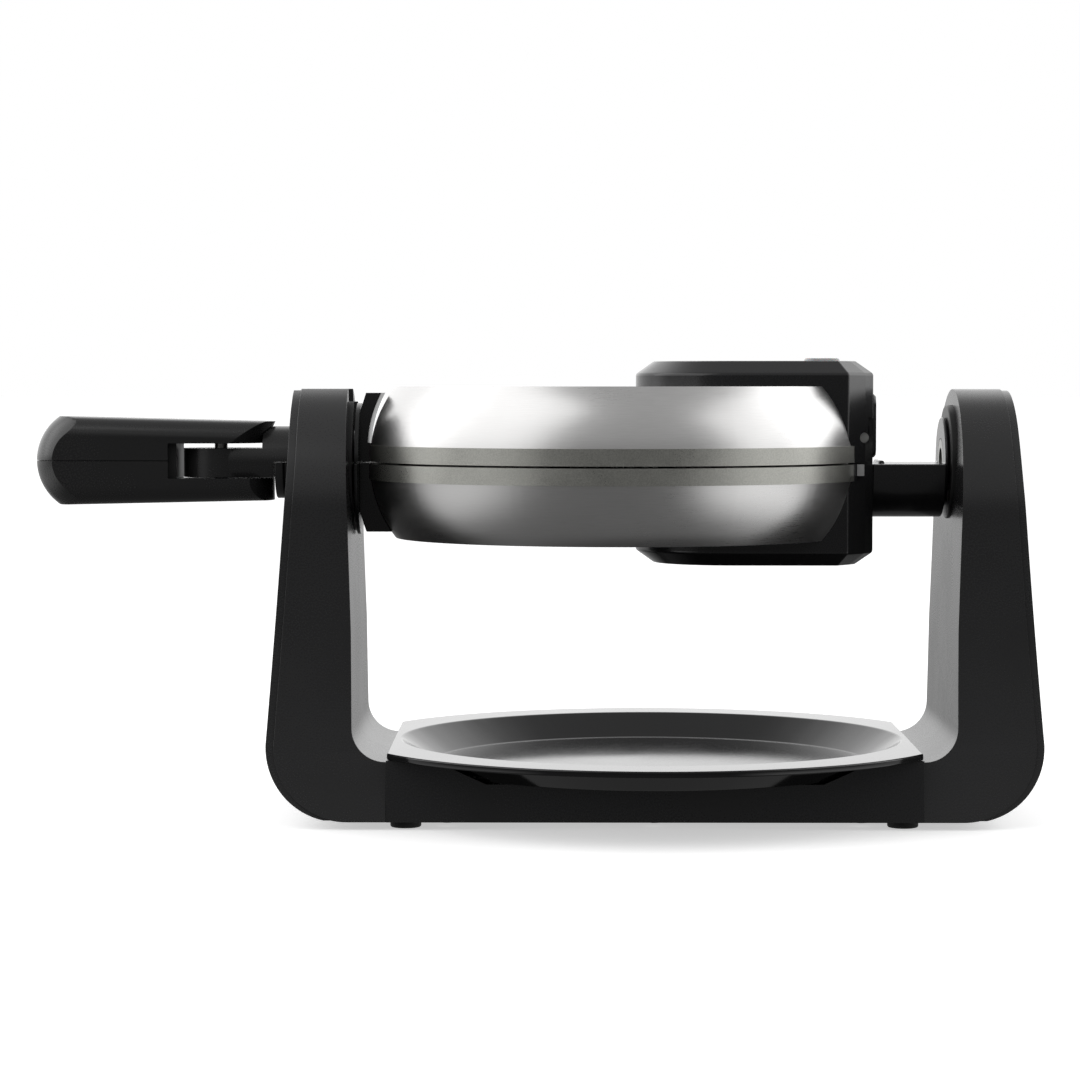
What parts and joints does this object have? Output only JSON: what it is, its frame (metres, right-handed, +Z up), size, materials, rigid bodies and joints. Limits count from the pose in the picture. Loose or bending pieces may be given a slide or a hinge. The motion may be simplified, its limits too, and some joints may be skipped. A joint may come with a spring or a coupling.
{
  "type": "rotary waffle maker",
  "caption": "Flip-over round waffle maker: a hinged steel cooking drum turns in a black pillar stand, with a folding handle, lid hinge and lift-out drip tray.",
  "frame": {"origin": "on the table, under the middle of the whole object's box with the handle unfolded", "axes": "+X from the handle tip to the hinge end, along the drum's rotation axis; +Y away from the viewer, across the stand; +Z up"},
  "size_m": [0.3955, 0.238, 0.1813],
  "materials": {
    "stand_plastic": "satin black moulded plastic",
    "housing_plastic": "satin black moulded plastic",
    "handle_plastic": "fine satin black",
    "tray_plastic": "smooth satin black",
    "inner_black": "dull black",
    "brushed_shell": "satin brushed stainless steel",
    "cast_plate": "grey non-stick coated casting",
    "element_steel": "heat-darkened sheath",
    "bright_sheet": "mill finish sheet",
    "zinc_steel": "zinc-plated",
    "lens_plastic": "frosted light grey",
    "lamp_glass": "clear neon bulb",
    "pad_silicone": "light grey silicone",
    "foot_rubber": "matt black rubber",
    "nylon": "self-lubricating nylon",
    "ceramic": "glazed off-white"
  },
  "bodies": {
    "stand": {"handle_pillar_body": "stand_plastic", "handle_pillar_cover": "stand_plastic", "cradle_liner": "nylon", "hinge_pillar_body": "stand_plastic", "hinge_pillar_cover": "stand_plastic", "rear_bearing_collar": "nylon", "cord_inlet_bush": "nylon", "base_bridge": "stand_plastic", "base_bottom_plate": "inner_black", "rubber_feet": "foot_rubber", "base_plate_screws": "zinc_steel", "bridge_bolts": "zinc_steel", "terminal_block": "ceramic"},
    "lower_half": {"lower_shell": "brushed_shell", "lower_grid_plate": "cast_plate", "lower_heating_element": "element_steel", "lower_reflector": "bright_sheet", "lower_reflector_screws": "zinc_steel", "lower_hinge_housing": "housing_plastic", "hinge_rest_pads": "pad_silicone", "lower_housing_screws": "zinc_steel", "lower_lens": "lens_plastic", "lower_indicator_lamp": "lamp_glass", "thermostat": "ceramic", "front_lower_bracket": "housing_plastic", "lower_journal": "housing_plastic", "rear_arm": "housing_plastic", "rear_axle": "zinc_steel", "axle_retaining_ring": "zinc_steel"},
    "hinge_float": {"hinge_pin": "zinc_steel"},
    "lid": {"upper_shell": "brushed_shell", "upper_grid_plate": "cast_plate", "upper_heating_element": "element_steel", "upper_reflector": "bright_sheet", "upper_reflector_screws": "zinc_steel", "upper_hinge_housing": "housing_plastic", "upper_rear_cover": "housing_plastic", "rear_cover_screws": "zinc_steel", "upper_lens": "lens_plastic", "upper_indicator_lamp": "lamp_glass", "thermal_fuse": "ceramic", "front_upper_bracket": "housing_plastic", "handle_neck": "handle_plastic"},
    "grip": {"grip_upper_shell": "handle_plastic", "grip_lower_shell": "handle_plastic", "grip_frame": "inner_black", "grip_pivot_pin": "zinc_steel", "grip_screws": "zinc_steel"},
    "tray": {"drip_tray": "tray_plastic"}
  },
  "joints": [
    {"name": "drum_flip", "type": "hinge", "parent": "stand", "child": "lower_half", "pos_m": [0.04795, 0, 0.14], "axis": [1, 0, 0], "range_deg": [-180, 0]},
    {"name": "hinge_lift", "type": "slide", "parent": "lower_half", "child": "hinge_float", "axis": [0, 0, 1], "range_m": [0, 0.004]},
    {"name": "lid_hinge", "type": "hinge", "parent": "hinge_float", "child": "lid", "pos_m": [0.13055, 0, 0.15], "axis": [0, 1, 0], "range_deg": [0, 85]},
    {"name": "grip_fold", "type": "hinge", "parent": "lid", "child": "grip", "pos_m": [-0.12415, 0, 0.14], "axis": [0, 0, 1], "range_deg": [0, 90]},
    {"name": "tray_lift", "type": "slide", "parent": "stand", "child": "tray", "axis": [0, 0, 1], "range_m": [0, 0.04]}
  ]
}
